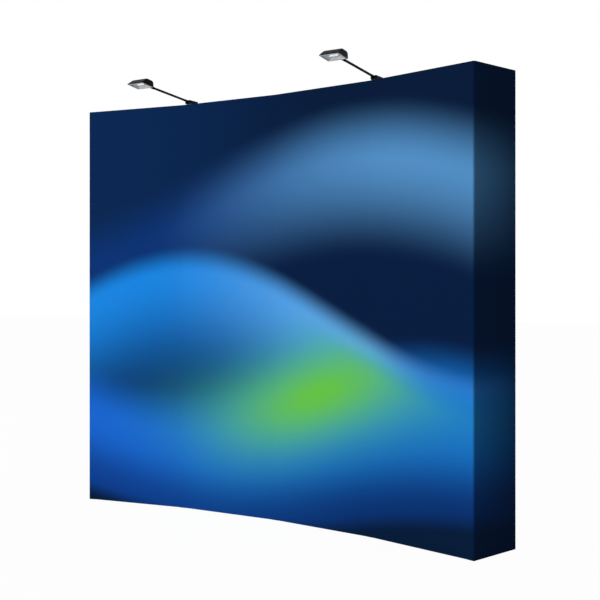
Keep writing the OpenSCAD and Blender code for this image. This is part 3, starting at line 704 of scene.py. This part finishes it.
def housingLevels(margin):
    # levels of a round-cornered plan: above an upright band the front leans back to a ridge, the rear bends
    # over to the flat top, and the top's edge is rolled; t is the share of the height, closer near the top
    top, bottom = head["top"] - margin, head["glass"]
    t = np.concatenate([np.linspace(0, 0.75, 9), 0.75 + 0.25 * np.sin(np.linspace(0.2, math.pi / 2, 8))])
    z = bottom + (top - bottom) * t
    roll = quarterRound((t - head["rollFrom"]) / (1 - head["rollFrom"]))
    bend = quarterRound((t - head["bendFrom"]) / (1 - head["bendFrom"]), 0.999)
    lean = np.clip((z - bottom - head["band"]) / (head["top"] - bottom - head["band"]), 0, 1)
    front = head["front"] + (head["ridge"] - head["front"]) * lean + head["frontRoll"] * roll + margin
    back = head["back"] - head["bend"] * bend - margin
    half = head["halfWidth"] - head["taper"] * t - head["roll"] * roll - margin
    return atHeight(roundedRing(half, front, back, head["corner"]), z)


def lampHousing(side):
    shape = Shape()
    shape.tube(headPlace(side, np.concatenate([housingLevels(head["wall"])[::-1], housingLevels(0.0)])))
    # cooling ribs on the flat top
    for x in np.linspace(-rib["spread"], rib["spread"], rib["count"]):
        bar = roundedBlock(rib["halfWidth"], head["ridge"] + rib["frontGap"], head["back"] - rib["backGap"],
                           head["top"] - rib["sunk"], head["top"] + rib["height"], 0.001, 0.0005, 3)
        shape.tube(headPlace(side, bar + np.array([x, 0, 0])))
    # two lugs that take the arm's end, with a cap nut on each side
    for sign in (-1, 1):
        shape.tube(headPlace(side, lathe(lugProfile, (0, 0, 0), (sign, 0, 0))))
        cheek = roundedBlock(0.002, head["back"] - 0.002, 0.0, -0.0065, 0.0065, 0.0008, 0.0006, 3)
        shape.tube(headPlace(side, cheek + np.array([sign * 0.0083, 0, 0])))
        shape.tube(headPlace(side, lathe(capNutProfile, (0, 0, 0), (sign, 0, 0), 6)))
    # the lip that shades the front edge: an oval section across the head, shorter at its ends
    turn = np.linspace(0, 2 * math.pi, 16, endpoint=False)
    low, high = head["front"] - lip["out"], head["front"] + lip["in"]
    y = (low + high) / 2 + (high - low) / 2 * np.cos(turn)
    z = head["glass"] + lip["halfHeight"] * (1 + np.sin(turn))
    share = np.linspace(-1, 1, 7)[:, None]
    across, ends = share * (head["halfWidth"] - lip["endGap"]), np.sqrt(1 - (share * lip["roundness"]) ** 8)
    shape.tube(headPlace(side, np.stack([across + 0 * y, high + (y - high) * ends, z + 0 * across], -1)))
    made = shape.piece("lampHousing_" + sideNames[side], materials["black_enamel"],
                       "lamp_head_" + sideNames[side], "black_enamel")
    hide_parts("lamp_housing_" + sideNames[side])


def lampReflector(side):
    # a rolled rim, and inside it a pan with hammered dents, dished by (1 - u^p)(1 - v^p)
    (outX, outY), (inX, inY) = rimHalf, panHalf
    base, mid = head["glass"], reflector["rim"] / 2
    floorHeight = base + reflector["floor"]
    turn = np.linspace(0, math.pi, 9)
    offset, drop = np.cos(turn), np.sin(turn)
    rolled = roundedRing(outX - mid + mid * offset, headMiddle - outY + mid - mid * offset,
                         headMiddle + outY - mid + mid * offset, 0.006)
    inner = roundedRing([inX], [headMiddle - inY], [headMiddle + inY], 0.004)
    rim = np.concatenate([atHeight(rolled, base - reflector["roll"] * drop), atHeight(inner, [floorHeight])])
    shape = Shape()
    shape.add(headPlace(side, rim), gridFaces(*rim.shape[:2], wrapColumns=True))
    u, v = np.meshgrid(np.linspace(-1, 1, 57), np.linspace(-1, 1, 45), indexing="ij")
    power, (dentsX, dentsY) = reflector["squareness"], reflector["dents"]
    dish = (1 - np.abs(u) ** power) * (1 - np.abs(v) ** power)
    dents = np.maximum(np.sin(u * dentsX * math.pi) * np.sin(v * dentsY * math.pi), -0.4)
    height = (floorHeight + reflector["depth"] * dish ** reflector["fullness"]
              + reflector["dent"] * dents * np.clip(dish * 3, 0, 1))
    pan = np.stack([u * inX, headMiddle + v * inY, height], -1)
    shape.add(headPlace(side, pan), gridFaces(*u.shape)[:, ::-1])
    made = shape.piece("lampReflector_" + sideNames[side], materials["reflector"],
                       "lamp_head_" + sideNames[side], "reflector", outward=False)
    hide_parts("lamp_reflector_" + sideNames[side])


def lampBulb(side):
    # a straight halogen bulb between two ceramic holders, and the front glass under them
    name, (halfX, halfY), base = sideNames[side], panHalf, head["glass"]
    bulb, holders, glass = Shape(), Shape(), Shape()
    centre = (0, headMiddle, base + reflector["bulbHeight"])
    half = np.array(halfBulbProfile)
    whole = np.concatenate([half[::-1] * [-1, 1], half[1:]])
    bulb.tube(headPlace(side, lathe(whole, centre, (1, 0, 0))))
    for sign in (-1, 1):
        holders.tube(headPlace(side, lathe(holderProfile, centre, (sign, 0, 0))))
        block = roundedBlock(0.003, -0.0052, 0.0052, -0.006, 0.0052, 0.001, 0.0006, 3)
        holders.tube(headPlace(side, block + np.array(centre) + np.array([sign * 0.0325, 0, 0])))
    bulb.piece("lampBulb_" + name, materials["bulb"], "lamp_head_" + name, "lamp_glass")
    holders.piece("lampHolders_" + name, materials["ceramic"], "lamp_head_" + name, "reflector")
    glass.tube(headPlace(side, roundedBlock(halfX, headMiddle - halfY, headMiddle + halfY,
                                            base, base + reflector["pane"], 0.003, 0.0004, 3)))
    pane = glass.piece("lampPane_" + name, materials["lamp_glass"], "lamp_head_" + name, "lamp_glass")
    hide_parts("lamp_glass_" + name)


def lampArm(side):
    # a tube with a swaged ferrule at each end and an eye across it
    length = lamp["armLength"]
    profile = armRearProfile + [(length + distance, radius) for distance, radius in armFrontProfile]
    shape = Shape()
    shape.tube(armPlace(side, lathe(profile, (0, 0, 0), (0, -1, 0))))
    for place, eye in ((0.0, rearEyeProfile), (length, frontEyeProfile)):
        shape.tube(armPlace(side, lathe(eye, (0, -place, 0), (1, 0, 0), 36)))
    made = shape.piece("lampArm_" + sideNames[side], materials["black_enamel"], "lamp_arm_" + sideNames[side],
                       "black_enamel")
    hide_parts("lamp_arm_" + sideNames[side])


def lampBox(side):
    # the gear box: a body in two halves, cheeks for the arm with nuts outside, a hinge pin and a cable gland
    shape, hinge = Shape(), (0, *lamp["hinge"])
    half, low, high, split = [gearBox[key] for key in ("half", "low", "high", "split")]
    front = lamp["hinge"][0] - gearBox["reach"]
    rear = front + gearBox["length"]
    body, cheekEnd = front + gearBox["bodyStart"], front + gearBox["cheekLength"]

    def put(rings):
        shape.tube(lampPlace(side, rings))
    for bottom, top in ((low, split - gearBox["joint"]), (split + gearBox["joint"], high)):
        put(roundedBlock(half, body, rear, bottom, top, 0.005, 0.0012))
    # a core behind the joint between the halves, and a tray under the cheeks
    put(roundedBlock(half - 0.0006, body + 0.001, rear - 0.0006, low + 0.002, high - 0.002, 0.0048, 0.0008))
    put(roundedBlock(half, front, cheekEnd, low, low + gearBox["tray"], 0.005, 0.0008))
    for sign in (-1, 1):
        cheek = roundedBlock(gearBox["cheekHalf"], front, cheekEnd + 0.002, low, high, 0.0022, 0.0012)
        put(cheek + np.array([sign * gearBox["cheekAside"], 0, 0]))
        put(lathe(boxNutProfile, hinge, (sign, 0, 0), 6))
    put(lathe(hingePinProfile, hinge, (1, 0, 0)))
    put(lathe(glandProfile, (0, rear - 0.0005, split), (0, 1, 0), 12))
    for y in (front + gearBox["screwInsets"][0], rear - gearBox["screwInsets"][1]):
        put(lathe(socketProfile, (0, y, high - 0.0001), (0, 0, 1), 18))
    name = sideNames[side]
    made = shape.piece("lampBox_" + name, materials["black_plastic"], "front_column_" + name, "black_plastic")
    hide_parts("lamp_base_" + name)
    return front, rear


def lampClip(side, front, rear):
    # pressed steel under the box and over the top of the upright, with a scalloped thumb screw behind
    name, angle, half = sideNames[side], columnAngle(1 + 2 * side), gearBox["half"]
    clip, screw = Shape(), Shape()
    low, top, near, far = gearBox["low"], wall["tubeTop"], frontUprightY, frontFaceY
    plate = roundedBlock(half, near + 0.001, footY + front + bracket["plateEnd"],
                         top + bracket["gap"], top + bracket["plateTop"], 0.003, 0.0008)
    shelf = roundedBlock(half - 0.001, front + 0.012, rear - 0.004,
                         top + bracket["plateTop"] - 0.0005, low + 0.0002, 0.003, 0.001)
    tab = roundedBlock(half, far + bracket["gap"], far + bracket["tabBack"],
                       top - bracket["tabDrop"], top + 0.002, 0.0015, 0.0006)
    plug = roundedBlock(bracket["plugHalf"], near + bracket["plugGap"], far - bracket["plugGap"],
                        top - bracket["plugDrop"], top + 0.001, 0.002, 0.0006)
    clip.tube(onBow(angle, plate))
    clip.tube(lampPlace(side, shelf))
    clip.tube(onBow(angle, tab))
    clip.tube(onBow(angle, plug))
    clip.piece("lampClip_" + name, materials["clipSteel"], "front_column_" + name, "black_plastic")
    screwHeight = top - bracket["screwDrop"]
    spindle = onBow(angle, np.array([0.0, far + bracket["gap"], screwHeight]))
    back = onBow(angle, np.array([0.0, far + bracket["gap"] + 0.01, screwHeight])) - spindle
    screw.tube(lathe(knobProfile, spindle, back, 48, 8, 0.16))
    screw.piece("lampScrew_" + name, materials["black_plastic"], "front_column_" + name, "black_plastic")


for side in (0, 1):
    lampHousing(side)
    lampReflector(side)
    lampBulb(side)
    lampArm(side)
    lampClip(side, *lampBox(side))
print("lamps made")


# floor, backdrop and light
studio = {"world": 0.6, "keyPower": 310, "keyPlace": (-2.6, -8.5, 1.9), "keySize": 3.6, "keyAim": (0, 0, 1.1),
          "floorHalf": 30, "floorSeen": 0.965}


def studioMaterial(name, seen):
    # pale for the lights, and nearly white for the camera, metal and glass
    made, start = startMaterial(name)
    path = start.node("ShaderNodeLightPath").socket.node.outputs
    cameraRay, glossRay, glassRay = [Wire(start.tree, path[key]) for key in
                                     ("Is Camera Ray", "Is Glossy Ray", "Is Transmission Ray")]
    sight = cameraRay.maths("MAXIMUM", cameraRay, glossRay.maths("MAXIMUM", glossRay, glassRay))
    dull = start.node("ShaderNodeBsdfDiffuse", None, {"Color": "#f4f4f4"})
    glow = start.node("ShaderNodeEmission", None, {"Color": "#ffffff", "Strength": 1.0})
    mixed = start.node("ShaderNodeMixShader", None, {0: sight * seen, 1: dull, 2: glow})
    start.node("ShaderNodeOutputMaterial", None, {"Surface": mixed})
    return made


floorMesh = bpy.data.meshes.new("floor")
reach = studio["floorHalf"]
floorCorners = [(-reach, -reach, 0), (reach, -reach, 0), (reach, reach, 0), (-reach, reach, 0)]
floorMesh.from_pydata(floorCorners, [], [(0, 1, 2, 3)])
floor = bpy.data.objects.new("floor", floorMesh)
bpy.context.scene.collection.objects.link(floor)
floorMesh.materials.append(studioMaterial("paleFloor", studio["floorSeen"]))

world = bpy.data.worlds.new("studio")
bpy.context.scene.world = world
world.use_nodes = True
world.node_tree.nodes.clear()
air = Wire(world.node_tree, None)
ray = air.node("ShaderNodeLightPath").socket.node.outputs
seen = Wire(world.node_tree, ray["Is Camera Ray"])
seen = seen.maths("MAXIMUM", seen, Wire(world.node_tree, ray["Is Transmission Ray"]))
strength = studio["world"] + seen * (1 - studio["world"])
backdrop = air.node("ShaderNodeBackground", None, {"Color": "#ffffff", "Strength": strength})
air.node("ShaderNodeOutputWorld", None, {"Surface": backdrop})

keyData = bpy.data.lights.new("keyLight", "AREA")
keyData.energy = studio["keyPower"]
keyData.size = studio["keySize"]
keyLight = bpy.data.objects.new("keyLight", keyData)
keyLight.location = studio["keyPlace"]
aim = np.array(studio["keyAim"]) - np.array(studio["keyPlace"])
keyLight.rotation_euler = Vector(aim).to_track_quat("-Z", "Y").to_euler()
bpy.context.scene.collection.objects.link(keyLight)
bpy.context.scene.view_settings.view_transform = "Standard"
print("studio made")
